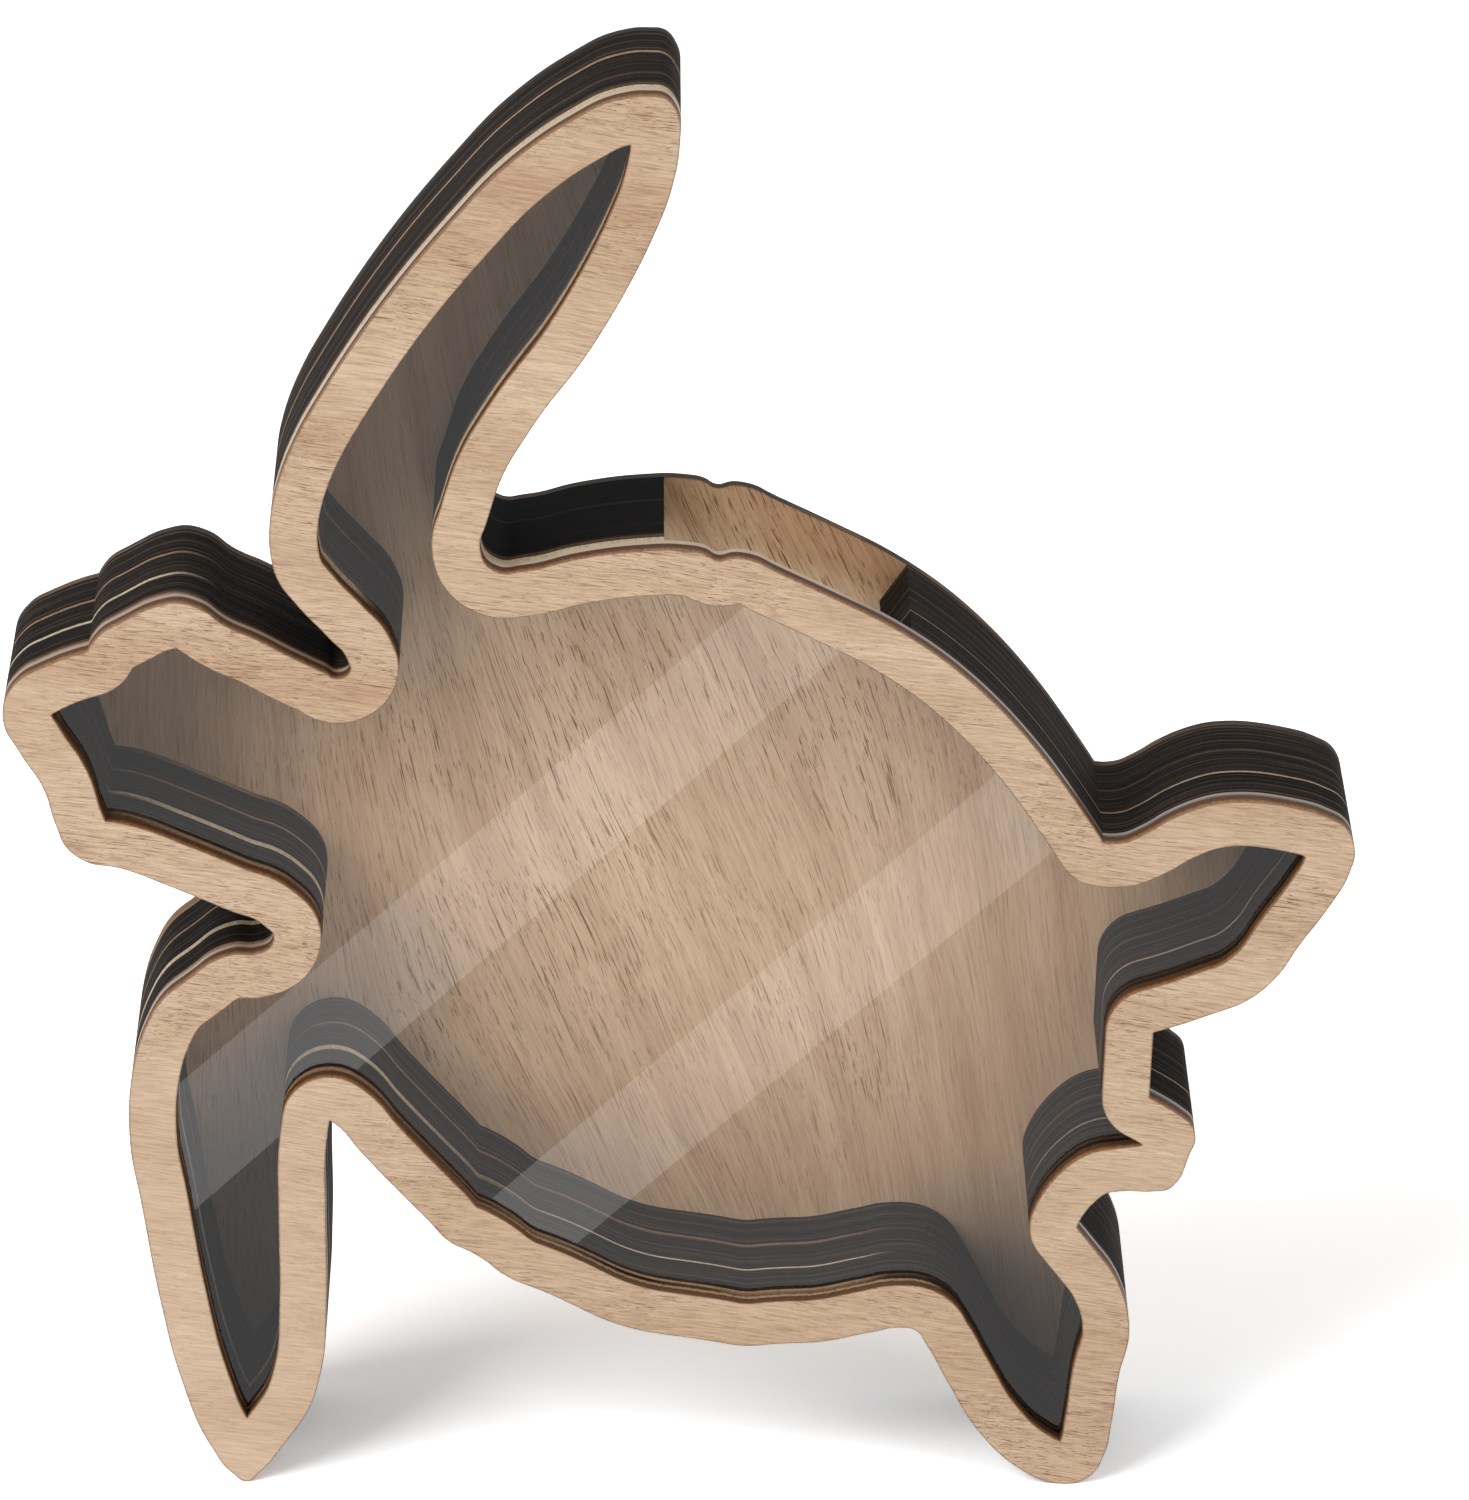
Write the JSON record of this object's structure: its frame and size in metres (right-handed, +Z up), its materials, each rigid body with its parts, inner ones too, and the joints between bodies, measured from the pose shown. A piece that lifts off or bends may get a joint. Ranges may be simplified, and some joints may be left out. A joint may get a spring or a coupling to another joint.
{
  "type": "display box",
  "caption": "Free-standing layered wooden display box shaped like a sea turtle, with a clear front window and a drop-in slot on top.",
  "frame": {"origin": "on the surface that the box stands on, under the middle of its bounding box", "axes": "+Z up, front window toward -Y, +X to the right seen from the front"},
  "size_m": [0.2256, 0.0364, 0.2501],
  "materials": {
    "veneer_frame": "pale matt veneer with a fine dark grain and scorched cut edges",
    "clear_acrylic": "clear polished sheet",
    "charred_plywood": "cut plywood edge, charred dark, with thin layer lines",
    "back_plywood": "matt plywood face with a flecked diagonal grain and dark cut edges"
  },
  "bodies": {
    "root": {"front_frame": "veneer_frame", "clear_window": "clear_acrylic", "left_wall_front": "charred_plywood", "right_wall_front": "charred_plywood", "left_wall_middle": "charred_plywood", "right_wall_middle": "charred_plywood", "left_wall_rear": "charred_plywood", "right_wall_rear": "charred_plywood", "back_panel": "back_plywood"}
  },
  "joints": []
}
